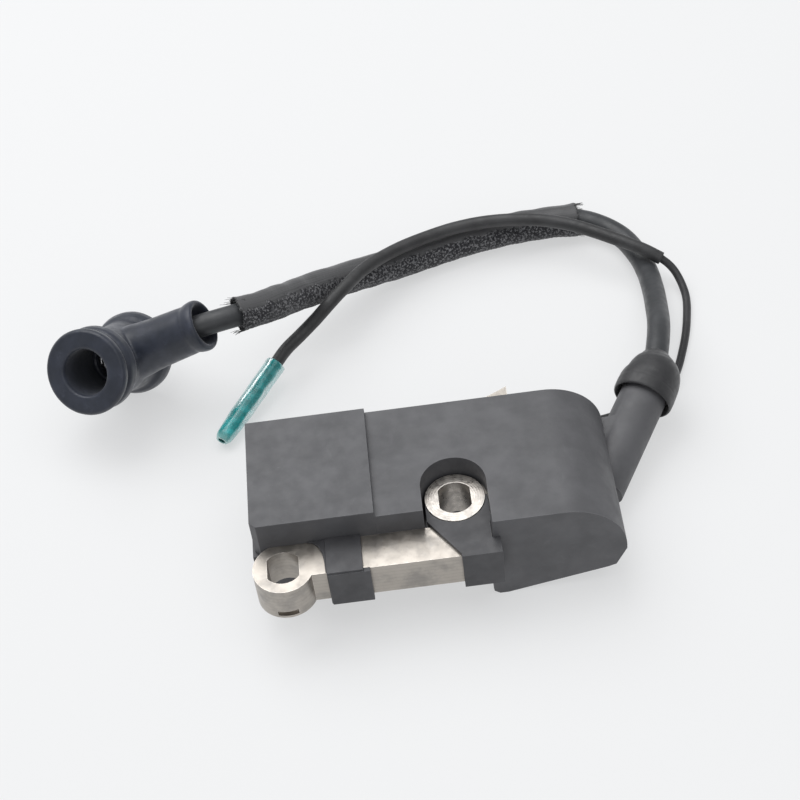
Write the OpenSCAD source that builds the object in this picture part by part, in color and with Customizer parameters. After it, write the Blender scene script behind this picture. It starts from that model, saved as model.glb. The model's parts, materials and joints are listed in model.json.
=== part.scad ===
// Ignition coil module for a small engine: potted control box and coil on a laminated core,
// with a high-tension lead and plug boot, and a stop-switch wire.
// Millimetres. Design axes: x along the module from its left face, y back from the front wall
// of the control box, z up from the flat underside.

/* [Case] */
// Height of the moulded case
case_h = 22.5; // [21.5:0.25:24]
// Depth of the case, front wall to rear wall
case_d = 27.5; // [27:0.25:29]
// How far the coil block stands in front of the control box
chin = 5; // [4.5:0.25:6]
// Radius of the rounded end of the coil block
end_r = 12; // [11.5:0.25:12.5]
// Wall thickness of the case
wall = 1.4; // [1.2:0.1:1.5]
// Length of the raised cover over the control box
cover_len = 24.3; // [23.5:0.1:25]
// How far the cover stands above the case
cover_rise = 1.3; // [1:0.1:1.6]

/* [Core] */
// Height of the laminated stack
core_t = 8; // [8:0.5:8.5]
// Width of the two legs and the yoke
leg_w = 8; // [7.5:0.25:8.5]
// Radius of the rotor that the pole faces are ground to
pole_r = 52; // [50:1:55]
// Radius of both mounting lands
land_r = 6; // [5.8:0.1:6.2]
// Width of the mounting slots across their flats
slot_w = 6.2; // [6:0.1:6.4]
// Length of the mounting slots along the depth
slot_l = 7.6; // [7.2:0.1:8]

/* [Tower and lead] */
// Turn of the high-tension tower from the length axis, in degrees
tower_yaw = 58.5; // [57:0.5:60]
// Rise of the tower, in degrees
tower_pitch = 10; // [9:0.5:11]
// Radius of the tower
tower_r = 4.9; // [4.7:0.1:5]
// Diameter of the high-tension lead
lead_d = 5; // [4.8:0.1:5]
// Outer diameter of the loose braided sleeve
braid_d = 8; // [7.6:0.1:8.2]

/* [Stop wire] */
// Diameter of the stop wire
wire_d = 1.8; // [1.6:0.1:1.8]
// Outer diameter of the soft tube over the stop wire
tube_d = 3; // [2.8:0.1:3]
// Length of the soft terminal cover
term_len = 22.5; // [22:0.5:24]

/* [Plug boot] */
// Radius of the front flange
flange_r = 9.3; // [9:0.1:9.5]
// Radius of the spark plug socket
socket_r = 5; // [4.8:0.1:5.2]
// Length of the boot
boot_len = 25.6; // [24:0.1:26]
// Length of the side arm from the axis of the boot
arm_len = 23.1; // [22.5:0.1:24]

/* [Hidden] */
$fn = 48;

// Middle of the module in the design axes: the frame's origin lies under it
mid_x = 44.96;
mid_y = 16.7;
eps = 0.01;

// Core
core_z = 9.1;
core_top = core_z + core_t;
core_mid = core_z + core_t / 2;
yoke_y = -leg_w;
yoke_end = 47.2;
ear = [5.5, -5.4];
bush = [40.2, 6];
left_leg_x = 4;
right_leg_x = 45.8;
rotor = [28, 80];

// Case
cover_split_z = 14.8;
cover_t = 0.8;
block_x = 46.7;
end_c = [60.5, 10.5];
pocket_r = 6.5;
strap_t = 0.8;
plate_top = core_top + strap_t;
strap_end = 46;
plate_end = 46.4;

// Coil round the right leg
coil_x = right_leg_x + leg_w / 2;
coil_y0 = 14.2;
coil_y1 = 25.2;
flange_t = 0.6;
chambers = 4;
chamber = (coil_y1 - coil_y0 - flange_t) / chambers;
charge_x = left_leg_x + leg_w / 2;
resin_end = 58;

// Circuit board
board = [15.6, 3, 14.6];
board_size = [21.4, 21, 1.2];
board_top = board[2] + board_size[2];
leg_at = [18.1, 6.8];
leg_pitch = 1.27;

// Tower: the mouth of the seal sits at tower_c, s is the distance along the axis from there
tower_c = [81.8, 33.2, 9.2];
function along(yaw, pitch) = [cos(pitch) * cos(yaw), cos(pitch) * sin(yaw), sin(pitch)];
function tower_at(s) = tower_c + s * along(tower_yaw, tower_pitch);
// The coil's output runs level from the last winding to the bend where the tower's passage begins
ht_bend = tower_at(-21.6);
ht_tap = [coil_x + 7.6, ht_bend[1] + 1, ht_bend[2]];
ht_tap_yaw = atan2(ht_bend[1] - ht_tap[1], ht_bend[0] - ht_tap[0]);
neck_yaw = 72;
neck_pitch = 5;
neck_s = 6;
// The tower ends inside the seal, short of the lead's bend
tower_s = 5;
web_top = 4.3;
web_t = 7.7;
function neck_at(s) = tower_at(neck_s) + s * along(neck_yaw, neck_pitch);

// Plug boot: its axis crosses the axis of its arm at boot_c; the arm points to boot_yaw, boot_rise
boot_c = [-29, 61.4, 13];
boot_yaw = -6;
boot_rise = 24;
boot_roll = 52;
function arm_at(s) = boot_c + s * along(boot_yaw, boot_rise);
boot_front = 15;
arm_bore_end = 7;
socket_z = 1.2;

// Stop wire terminal: the mouth of the soft cover sits at term_c
term_c = [4.9, 61.5, 5];
term_yaw = 235;
term_pitch = -6.5;
function term_at(s) = term_c + s * along(term_yaw, term_pitch);

// Route of the high-tension lead, from the socket in the tower to the boot's arm
LEAD = [tower_at(-4), tower_at(2), neck_at(0), neck_at(7.5),
        [89, 53.5, 10], [90, 62, 7.4], [90.6, 70, 5.1], [90.6, 77.5, 3.4], [89.6, 84, 2.7],
        [86.9, 90.1, 3.1], [82.5, 94.4, 3.7], [77, 96.9, 4.3], [68.5, 97.2, 4.1],
        [59, 96.4, 4.1], [49.5, 94.6, 4.1], [42, 92.3, 4.2], [34, 89.1, 5], [25, 84.5, 7.3],
        [16.1, 78, 11.1], [9.1, 71, 15.5], [4.2, 65.8, 18.7], [-0.9, 62.2, 21],
        arm_at(21), arm_at(arm_bore_end)];
BRAID_FIRST = 11;
BRAID_LAST = 21;

// Route of the stop wire, from its grommet to its terminal
WIRE = [[66, 26.1, 6.5], [66, 30, 6.5], [67, 32.8, 5], [70, 35, 2.6], [74.5, 36.6, 1.2],
        [81, 38.6, 1], [87, 41.6, 1], [91, 46, 1], [94.6, 54.5, 1], [97, 63, 1],
        [98.1, 71.2, 1.4], [96.5, 76.4, 3.9], [93.9, 78.1, 6.3], [90.1, 79.9, 8.1],
        [81.1, 86.1, 9], [75, 89.8, 9.4], [67.5, 92.4, 9.9],
        [59, 93.8, 9.9], [50, 93.4, 9.9], [41, 90.8, 10.1], [33.4, 86.7, 10.9],
        [27.1, 81.4, 11.9], [22.3, 75.8, 12.3], [18.45, 72.3, 11.2], [14.8, 70.6, 8.4],
        [10.9, 68.3, 6.3], term_at(-4.5), term_at(2), term_at(3)];
TUBE_FIRST = 12;
TUBE_LAST = 27;

// Tubes swept along a route: a ring of corners at each point, square to the route
function unit(v) = v / norm(v);
function tangent(p, i) =
    let(a = max(i - 1, 0), b = min(i + 1, len(p) - 1)) unit(p[b] - p[a]);
function ring(p, i, r, sides) =
    let(t = tangent(p, i), u = unit(cross(t, [0, 0, 1])), v = cross(u, t))
    [for (k = [0:sides - 1]) p[i] + r * (cos(360 * k / sides) * u + sin(360 * k / sides) * v)];
function span(p, a, b) = [for (i = [a:b]) p[i]];
function skin(n, sides, first, flip) =
    [for (i = [0:n - 2]) for (k = [0:sides - 1])
        let(a = first + i * sides + k, b = first + i * sides + (k + 1) % sides)
        flip ? [a, a + sides, b + sides, b] : [a, b, b + sides, a + sides]];

module place() {
    translate([-mid_x, -mid_y, 0]) children();
}

module swept_rod(p, r, sides) {
    n = len(p);
    rings = [for (i = [0:n - 1]) for (c = ring(p, i, r, sides)) c];
    front = [for (k = [sides - 1:-1:0]) k];
    back = [for (k = [0:sides - 1]) (n - 1) * sides + k];
    polyhedron(points = rings, faces = concat(skin(n, sides, 0, false), [front, back]),
               convexity = 6);
}

module swept_tube(p, r_out, r_in, sides) {
    n = len(p);
    m = n * sides;
    outer = [for (i = [0:n - 1]) for (c = ring(p, i, r_out, sides)) c];
    inner = [for (i = [0:n - 1]) for (c = ring(p, i, r_in, sides)) c];
    last = (n - 1) * sides;
    front = [for (k = [0:sides - 1]) let(j = (k + 1) % sides) [j, k, m + k, m + j]];
    back = [for (k = [0:sides - 1]) let(j = (k + 1) % sides)
            [last + k, last + j, m + last + j, m + last + k]];
    polyhedron(points = concat(outer, inner),
               faces = concat(skin(n, sides, 0, false), skin(n, sides, m, true), front, back),
               convexity = 8);
}

// Lays a solid that was drawn along +z onto a line in space
module lay_along(start, yaw, pitch) {
    translate(start) rotate([0, 90 - pitch, yaw]) children();
}

module on_boot() {
    translate(boot_c) rotate([boot_roll, -boot_rise, boot_yaw]) children();
}

module box(x0, x1, y0, y1, z0, z1) {
    translate([x0, y0, z0]) cube([x1 - x0, y1 - y0, z1 - z0]);
}

// A slot with two flats and two round ends, cut along z
module slot(c, z0, z1) {
    intersection() {
        translate([c[0], c[1], z0]) cylinder(d = slot_l, h = z1 - z0);
        box(c[0] - slot_w / 2, c[0] + slot_w / 2, c[1] - slot_l, c[1] + slot_l, z0, z1);
    }
}

// Rectangular tube along y round the middle of a leg
module leg_tube(x, half_out, half_in, y0, y1) {
    difference() {
        box(x - half_out, x + half_out, y0, y1, core_mid - half_out, core_mid + half_out);
        box(x - half_in, x + half_in, y0 - 1, y1 + 1, core_mid - half_in, core_mid + half_in);
    }
}

// Winding: a square coil with rounded corners round a leg
module winding(x, half_out, half_in, corner, y0, y1) {
    translate([x, y1, core_mid]) rotate([90, 0, 0]) linear_extrude(y1 - y0) difference() {
        union() {
            square([2 * half_out, 2 * (half_out - corner)], center = true);
            square([2 * (half_out - corner), 2 * half_out], center = true);
            for (sx = [-1, 1]) for (sy = [-1, 1])
                translate([sx, sy] * (half_out - corner)) circle(r = corner);
        }
        square(2 * half_in, center = true);
    }
}

// End outline of the coil block in x and z: round shoulder, upright side and slanted base
module block_outline(inset) {
    left = block_x + inset;
    base = [[68.7 - inset * 0.7, 4.15 + inset * 0.5], [60, 2.35 + inset], [48.6, inset]];
    difference() {
        union() {
            translate(end_c) circle(r = end_r - inset, $fn = 96);
            polygon(concat([[left, case_h - inset], [end_c[0], case_h - inset],
                            [end_c[0] + end_r - inset, end_c[1]],
                            [end_c[0] + end_r - inset, 9.3],
                            [70.3 - inset * 0.9, 4.7 + inset * 0.3]], base,
                           [[left + 0.2, inset], [left - 0.9, 0.9 + inset * 0.3],
                            [left - 1, 1.8 + inset * 0.3]]));
        }
        polygon(concat([[end_c[0] + end_r, 9.3], [90, 9.3], [90, -10], [48.6, -10]],
                       [[48.6, inset], [60, 2.35 + inset],
                        [68.7 - inset * 0.7, 4.15 + inset * 0.5],
                        [70.3 - inset * 0.9, 4.7 + inset * 0.3],
                        [end_c[0] + end_r - inset, 9.3]]));
    }
}

module block_solid(inset, y0, y1) {
    translate([0, y1, 0]) rotate([90, 0, 0]) linear_extrude(y1 - y0) block_outline(inset);
}

module tower_solid() {
    lay_along(tower_at(-23), tower_yaw, tower_pitch) cylinder(r = tower_r, h = 23 + tower_s);
}

// Flat web that fills the corner between the tower and the rounded end, level with the rear wall
module tower_web() {
    intersection() {
        lay_along(tower_at(-23), tower_yaw, tower_pitch)
            translate([-web_top, 0, 0]) cube([web_t, 12, 30]);
        box(66, 90, 0, case_d, 0, case_h);
    }
}

// Wall of the pocket round the bushing, kept when the inside is hollowed out
module pocket_wall() {
    translate([bush[0], bush[1], 0]) cylinder(r = pocket_r + wall, h = case_h);
    box(bush[0] - pocket_r - wall, bush[0] + pocket_r + wall, 0, bush[1], 0, case_h);
}

// Everything the core fills inside the case
module core_space() {
    translate([0, 0, core_z]) linear_extrude(core_t) core_area();
}

// Hollow of the control box and the coil block, open at the underside
module cavity() {
    difference() {
        union() {
            box(wall + cover_t, block_x + 2, wall + cover_t, case_d - wall - cover_t,
                -1, case_h - wall);
            intersection() {
                block_solid(wall, 13, case_d - wall);
                box(block_x, 80, 0, case_d, -1, case_h);
            }
            box(block_x, resin_end, 13, case_d - wall, -1, 6);
        }
        pocket_wall();
    }
}

module case_body() color("dimgray") place() difference() {
    union() {
        box(-0.5, block_x + 6, 0, case_d, 0, cover_split_z);
        box(cover_t, block_x + 6, cover_t, case_d - cover_t, 0, case_h);
        box(cover_len, block_x + 6, 0, case_d, 0, case_h);
        block_solid(0, -chin, case_d);
        tower_solid();
        tower_web();
    }
    cavity();
    core_space();
    // pocket round the bushing, open to the front and right through
    translate([bush[0], bush[1], -1]) cylinder(r = pocket_r, h = case_h + 2);
    box(bush[0] - pocket_r, bush[0] + pocket_r, -1, bush[1], -1, case_h + 1);
    // lead socket in the tower, and the passage of the coil's output to it
    lay_along(tower_at(-4), tower_yaw, tower_pitch) cylinder(d = lead_d, h = 20);
    lay_along(tower_at(-24), tower_yaw, tower_pitch) cylinder(r = 0.9, h = 21);
    lay_along(ht_tap, ht_tap_yaw, 0) cylinder(r = 0.5, h = norm(ht_bend - ht_tap) + 0.4);
    translate([66, case_d - 5, 6.5]) rotate([-90, 0, 0]) cylinder(r = 1.9, h = 10);
}

module module_cover() color("#5f5f62") place() difference() {
    box(0, cover_len, 0, case_d, cover_split_z, case_h + cover_rise);
    box(cover_t, cover_len + 1, cover_t, case_d - cover_t, cover_split_z - 1, case_h);
    core_space();
    // fine chamfer on the front left corner
    translate([0, 0, cover_split_z - 1]) linear_extrude(20)
        polygon([[-1, -1], [1.2, -1], [1.2, 0], [0, 1.2], [-1, 1.2]]);
}

module potting_resin() color("#26262a") place() intersection() {
    cavity();
    union() {
        box(0, block_x, 0, case_d, 0.8, 4);
        box(block_x, resin_end, 0, case_d, 2.6, 5);
    }
}

// Yoke, ear, land round the bushing and two legs with pole faces ground to the rotor
module core_area() {
    difference() {
        union() {
            translate([ear[0], yoke_y]) square([yoke_end - ear[0], leg_w]);
            translate(ear) circle(r = land_r);
            translate([left_leg_x, yoke_y + 2.5]) square([leg_w, 42]);
            translate([right_leg_x, yoke_y]) square([leg_w, 42.9]);
            translate(bush) circle(r = land_r);
            translate([bush[0], -1]) square([right_leg_x - bush[0] + 1, 10]);
        }
        translate(rotor) circle(r = pole_r, $fn = 180);
        polygon([[yoke_end, -9], [60, -9], [60, -1], [right_leg_x + leg_w, -1],
                 [yoke_end, -4.2]]);
    }
}

module core_outline() {
    difference() {
        core_area();
        translate(bush) circle(r = land_r - 1);
        intersection() {
            translate(ear) circle(d = slot_l);
            translate([ear[0] - slot_w / 2, ear[1] - slot_l]) square([slot_w, 2 * slot_l]);
        }
    }
}

module laminated_core() color("#b3afa7") place() difference() {
    translate([0, 0, core_z]) linear_extrude(core_t) core_outline();
    // locating notch low in the front of the ear
    box(ear[0] - 2.1, ear[0] + 2, ear[1] - land_r - 1, ear[1] - land_r + 1, core_z + 0.6,
        core_z + 1.9);
}

module left_core_strap() color("#3c3c3e") place() difference() {
    union() {
        box(13.9, 21, yoke_y - strap_t, 0, core_z - strap_t, plate_top);
        // deeper front face
        box(14.1, 22.3, yoke_y - strap_t - 0.3, yoke_y, core_z - strap_t, plate_top - 0.5);
        // thin apron that follows the round of the ear
        translate([0, 0, core_top]) linear_extrude(strap_t - 0.3)
            polygon([[10.4, 0], [11.6, -0.5], [12.7, -1.7], [13.3, -3.3], [13.6, -5.6],
                     [13.7, yoke_y], [14.5, yoke_y], [14.5, 0]]);
    }
    box(13, 23, yoke_y, 1, core_z, core_top);
}

module right_core_strap() color("#3c3c3e") place() difference() {
    union() {
        box(40.1, yoke_end + strap_t, yoke_y - strap_t, -chin, core_z - strap_t, plate_top);
        box(40.1, strap_end, yoke_y - strap_t, 0, core_z - strap_t, plate_top);
        // plate that widens from the strap to the land round the bushing
        translate([0, 0, core_top]) linear_extrude(strap_t)
            polygon([[bush[0] - land_r, bush[1]], [bush[0] - land_r, 0.9], [40.1, yoke_y],
                     [plate_end, yoke_y], [plate_end, -0.9], [plate_end + 0.25, -0.9],
                     [plate_end + 0.25, bush[1]]]);
    }
    box(40, yoke_end, yoke_y, 1, core_z, core_top);
    box(40, block_x + 4, -chin, 1, core_z - 2, core_top - 1);
    translate([bush[0], bush[1], core_z]) cylinder(r = land_r + 0.05, h = 2 * core_t);
}

module mount_bushing() color("#c6bdb7") place() difference() {
    union() {
        translate([bush[0], bush[1], core_z]) cylinder(r = land_r - 1, h = core_t);
        translate([bush[0], bush[1], core_top]) cylinder(r = land_r, h = strap_t + 0.15);
    }
    slot(bush, 0, case_h);
}

module primary_bobbin() color("ivory") place() {
    leg_tube(coil_x, 4.9, 4.1, coil_y0, coil_y1);
    leg_tube(coil_x, 6, 4.9, coil_y0, coil_y0 + flange_t);
    leg_tube(coil_x, 6, 4.9, coil_y1 - flange_t, coil_y1);
}

module primary_winding() color("#b5651d") place()
    winding(coil_x, 5.9, 4.9, 1, coil_y0 + flange_t, coil_y1 - flange_t);

module secondary_bobbin() color("ivory") place() {
    leg_tube(coil_x, 6.6, 6, coil_y0, coil_y1);
    for (i = [0:chambers])
        leg_tube(coil_x, 7.9, 6.6, coil_y0 + i * chamber, coil_y0 + i * chamber + flange_t);
}

module secondary_winding() color("#8c4a1a") place()
    for (i = [0:chambers - 1])
        winding(coil_x, 7.6, 6.6, 1, coil_y0 + i * chamber + flange_t,
                coil_y0 + (i + 1) * chamber);

module charge_bobbin() color("ivory") place() {
    leg_tube(charge_x, 4.7, 4.1, 8, 22);
    leg_tube(charge_x, 5.6, 4.7, 8, 8.7);
    leg_tube(charge_x, 5.6, 4.7, 21.3, 22);
}

module charge_winding() color("#b5651d") place()
    winding(charge_x, 5.5, 4.7, 0.8, 8.7, 21.3);

module circuit_board() color("darkgreen") place() difference() {
    translate(board) cube(board_size);
    // clearance round the bushing pocket
    translate([bush[0], bush[1], 0]) cylinder(r = pocket_r + wall + 0.6, h = case_h);
    for (i = [0:2])
        translate([leg_at[0] + i * leg_pitch, leg_at[1], 0]) cylinder(r = 0.35, h = case_h);
}

module storage_capacitor() color("#9c2b1f") place() {
    box(17, 28.5, 17.2, 22.4, board_top, board_top + 4.6);
}

module switch_thyristor() color("#222226") place() {
    box(17, 21.8, 5, 8.6, board_top, board_top + 4.2);
    for (i = [0:2])
        translate([leg_at[0] + i * leg_pitch, leg_at[1], board[2] - 1])
            cylinder(r = 0.25, h = board_size[2] + 1 + eps);
}

module control_chip() color("#1d1d20") place() {
    box(24, 29, 5.5, 9.4, board_top + 0.2, board_top + 1.7);
    for (i = [0:3]) for (s = [0, 1])
        box(24.4 + i * 1.27, 24.8 + i * 1.27, s ? 9.4 : 4.7, s ? 10.2 : 5.5,
            board_top, board_top + 0.5);
}

module diodes() color("#2b2b2b") place()
    for (i = [0:2])
        translate([31.5, 14.2 + i * 3, board_top + 1]) rotate([0, 90, 0])
            cylinder(r = 1, h = 4.4);

module resistors() color("#c8a878") place()
    for (i = [0:1])
        translate([17.4, 11 + i * 3, board_top + 0.9]) rotate([0, 90, 0])
            cylinder(r = 0.9, h = 5);

module ground_strap() color("#c9c4b8") place() {
    box(9.4, 16.4, 4.6, 6.4, core_top, core_top + 0.3);
    box(16.1, 16.4, 4.6, 6.4, board_top, core_top + 0.3);
}

module ht_wire() color("#b5651d") place() {
    lay_along(ht_bend, tower_yaw, tower_pitch) cylinder(r = 0.5, h = 15.2);
    lay_along(ht_tap, ht_tap_yaw, 0) cylinder(r = 0.4, h = norm(ht_bend - ht_tap) + 0.3);
}

module ht_post() color("#c8a044") place()
    lay_along(tower_at(-6.4), tower_yaw, tower_pitch) {
        cylinder(r = 0.9, h = 2.4);
        cylinder(r1 = 0.7, r2 = 0.25, h = 6.4);
    }

module tower_seal() color("#56565a") place() difference() {
    union() {
        lay_along(tower_at(0), tower_yaw, tower_pitch) rotate_extrude() polygon([
            [0, 0], [6.4, 0], [6.4, 2.6], [6.3, 4.4], [6.05, 5.8], [5.6, 7.2],
            [4.9, 8.6], [3.9, 9.8], [0, 10.4]]);
        lay_along(neck_at(0), neck_yaw, neck_pitch) rotate_extrude() polygon([
            [0, 0], [5.2, 0], [5, 2], [4.4, 3.8], [3.6, 5], [3.3, 5.8], [0, 5.8]]);
    }
    // flared mouth with room round the tower, then a snug bore
    lay_along(tower_at(-1), tower_yaw, tower_pitch) cylinder(r = 5.7, h = 3);
    lay_along(tower_at(-1), tower_yaw, tower_pitch) cylinder(r = tower_r + 0.02, h = 2 + tower_s);
    lay_along(tower_at(0), tower_yaw, tower_pitch) cylinder(d = lead_d, h = 10);
    lay_along(neck_at(-1), neck_yaw, neck_pitch) cylinder(d = lead_d + 0.2, h = 12);
}

module ht_lead() color("#4a4a4e") place() swept_rod(LEAD, lead_d / 2, 12);

module ht_lead_sleeve() color("#3a3a3c") place()
    swept_tube(span(LEAD, BRAID_FIRST, BRAID_LAST), braid_d / 2, lead_d / 2 + 0.6, 12);

// Profile of the boot in radius and height along its own axis, from the rear to the flange
module plug_boot() color("#3a3d47") place() on_boot() difference() {
    rear = boot_len - boot_front;
    union() {
        rotate_extrude() polygon([
            [0, -rear], [flange_r - 1.6, -rear], [flange_r - 0.5, -rear + 0.6],
            [flange_r - 0.1, -rear + 1.6], [flange_r - 0.1, -rear + 3], [flange_r - 0.6, -5.4],
            [7.8, -4.8], [7.7, 7.2], [8.2, 7.8], [9, 8.2], [9.1, 10.8], [8.8, 11.3],
            [8.3, 11.7], [8.3, 12.3], [9, 12.6], [flange_r, 13.2], [flange_r, 14.4],
            [flange_r - 0.6, boot_front], [0, boot_front]]);
        rotate([0, 90, 0]) cylinder(r1 = 5.6, r2 = 4.9, h = arm_len - 2.4);
        translate([arm_len - 3, 0, 0]) rotate([0, 90, 0]) rotate_extrude() polygon([
            [0, 0], [4.9, 0], [5.5, 0.7], [5.7, 1.9], [5.6, 2.6], [5.2, 3], [0, 3]]);
    }
    translate([0, 0, socket_z]) cylinder(r = socket_r, h = 30);
    translate([0, 0, -4.5]) cylinder(r = 4.2, h = 10);
    translate([0, 0, boot_front - 0.6]) cylinder(r1 = socket_r, r2 = socket_r + 0.5, h = 0.7);
    translate([arm_bore_end, 0, 0]) rotate([0, 90, 0]) cylinder(r = lead_d / 2 + 0.05, h = 20);
    // recess where the lead bends out of the arm, flared at its mouth
    translate([arm_len - 2.9, 0, 0]) rotate([0, 90, 0]) cylinder(r = 4.2, h = 4);
    translate([arm_len - 0.7, 0, 0]) rotate([0, 90, 0]) cylinder(r1 = 4.2, r2 = 4.9, h = 0.8);
    rotate([0, 90, 0]) cylinder(r = 1.1, h = arm_bore_end + 1);
}

module plug_spring() color("#b9bcc0") place() on_boot()
    translate([0, 0, -4]) difference() {
        cylinder(r = 3.9, h = 5);
        translate([0, 0, -1]) cylinder(r = 3.1, h = 7);
    }

module lead_contact() color("#c8a044") place() on_boot()
    translate([3.9, 0, 0]) rotate([0, 90, 0]) cylinder(r = 1, h = arm_bore_end - 4);

module wire_grommet() color("#2f2f31") place() translate([66, case_d, 6.5]) rotate([-90, 0, 0])
    difference() {
        union() {
            translate([0, 0, -wall]) cylinder(r = 1.9, h = wall + eps);
            cylinder(r1 = 2.6, r2 = 1.7, h = 2.4);
        }
        translate([0, 0, -3]) cylinder(d = wire_d + 0.1, h = 8);
    }

module kill_wire() color("#2c2c2e") place() swept_rod(WIRE, wire_d / 2, 8);

module wire_tube() color("#29292b") place()
    swept_tube(span(WIRE, TUBE_FIRST, TUBE_LAST), tube_d / 2, wire_d / 2 + 0.15, 8);

// Crimped terminal: barrel over the wire, then a slim bullet
module bullet_terminal() color("#c9c4b8") place()
    lay_along(term_at(3), term_yaw, term_pitch) rotate_extrude() polygon([
        [0, 0], [1.4, 0], [1.4, 3.2], [0.9, 3.6], [0.9, 4.2], [1.6, 4.6], [1.6, 7.4],
        [1.3, 8.4], [0.7, 9], [0, 9]]);

module terminal_cover() color([0.3, 0.55, 0.56, 0.7]) place()
    lay_along(term_at(0), term_yaw, term_pitch) difference() {
        rotate_extrude() polygon([
            [0, 0], [2.2, 0], [2.35, 0.8], [2.4, 14], [2.3, 18], [2.2, term_len - 2],
            [1.8, term_len], [0, term_len]]);
        translate([0, 0, -1]) cylinder(r = 1.8, h = term_len - 0.6);
        translate([0, 0, 10]) cylinder(r = 0.9, h = term_len);
    }

case_body();
module_cover();
potting_resin();
laminated_core();
left_core_strap();
right_core_strap();
mount_bushing();
primary_bobbin();
primary_winding();
secondary_bobbin();
secondary_winding();
charge_bobbin();
charge_winding();
circuit_board();
storage_capacitor();
switch_thyristor();
control_chip();
diodes();
resistors();
ground_strap();
ht_wire();
ht_post();
tower_seal();
ht_lead();
ht_lead_sleeve();
plug_boot();
plug_spring();
lead_contact();
wire_grommet();
kill_wire();
wire_tube();
bullet_terminal();
terminal_cover();
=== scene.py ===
"""Looks of the small-engine ignition coil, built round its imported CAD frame.

Metres, in the row frame: +X towards the high-tension tower, +Y back towards the pole faces, +Z up.
Routes and profiles are written in millimetres in the part's design axes, which at() brings over.
"""

import json
import math
import random

import bmesh
import bpy
from mathutils import Matrix, Vector, noise


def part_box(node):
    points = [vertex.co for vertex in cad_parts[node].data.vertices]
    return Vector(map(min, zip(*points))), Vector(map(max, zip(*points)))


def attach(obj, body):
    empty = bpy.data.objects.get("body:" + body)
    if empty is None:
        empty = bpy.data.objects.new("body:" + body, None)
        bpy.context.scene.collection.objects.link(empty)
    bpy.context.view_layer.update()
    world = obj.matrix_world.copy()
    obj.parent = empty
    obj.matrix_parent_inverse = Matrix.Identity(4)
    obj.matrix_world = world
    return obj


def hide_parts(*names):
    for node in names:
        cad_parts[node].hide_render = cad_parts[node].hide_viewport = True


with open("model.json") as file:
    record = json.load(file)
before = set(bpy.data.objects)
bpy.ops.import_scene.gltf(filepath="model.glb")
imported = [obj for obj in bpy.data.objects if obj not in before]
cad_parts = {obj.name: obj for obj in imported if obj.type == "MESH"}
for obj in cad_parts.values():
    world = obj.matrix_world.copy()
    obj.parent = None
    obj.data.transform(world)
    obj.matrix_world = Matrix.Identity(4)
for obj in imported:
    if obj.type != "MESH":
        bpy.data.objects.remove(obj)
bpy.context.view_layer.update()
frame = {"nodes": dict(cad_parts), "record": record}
nodes = frame["nodes"]
scene = bpy.context.scene

# ---------------------------------------------------------------- frame and camera

MM = 0.001
MIDDLE = Vector((44.96, 16.7, 0))  # the frame's origin in the design axes

LENS_MM = 86.04
SENSOR_MM = 36
CAMERA_AT = (37.31, -235.94, 306.72)  # in the design axes
CAMERA_YAW = math.radians(-1.19)
CAMERA_DIP = math.radians(46.93)
CAMERA_ROLL = math.radians(-8.18)


def at(point):
    """A point of the design axes, in metres in the row frame."""
    return (Vector(point) - MIDDLE) * MM


def make_camera():
    """The photograph's view: yaw and dip set the direction, roll turns the picture."""
    forward = Vector((math.sin(CAMERA_YAW) * math.cos(CAMERA_DIP),
                      math.cos(CAMERA_YAW) * math.cos(CAMERA_DIP), -math.sin(CAMERA_DIP)))
    level = Vector((math.cos(CAMERA_YAW), -math.sin(CAMERA_YAW), 0))
    upright = level.cross(forward)
    right = math.cos(CAMERA_ROLL) * level + math.sin(CAMERA_ROLL) * upright
    up = -math.sin(CAMERA_ROLL) * level + math.cos(CAMERA_ROLL) * upright
    data = bpy.data.cameras.new("camera")
    data.lens = LENS_MM
    data.sensor_width = SENSOR_MM
    data.clip_start = 0.01
    data.clip_end = 20
    camera = bpy.data.objects.new("camera", data)
    turn = Matrix((right, up, -forward)).transposed()
    camera.matrix_world = Matrix.Translation(at(CAMERA_AT)) @ turn.to_4x4()
    scene.collection.objects.link(camera)
    scene.camera = camera


make_camera()

# ---------------------------------------------------------------- node helpers


WAVE_RATE = 20  # radians that Blender's wave texture turns for each unit of its scale


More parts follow.
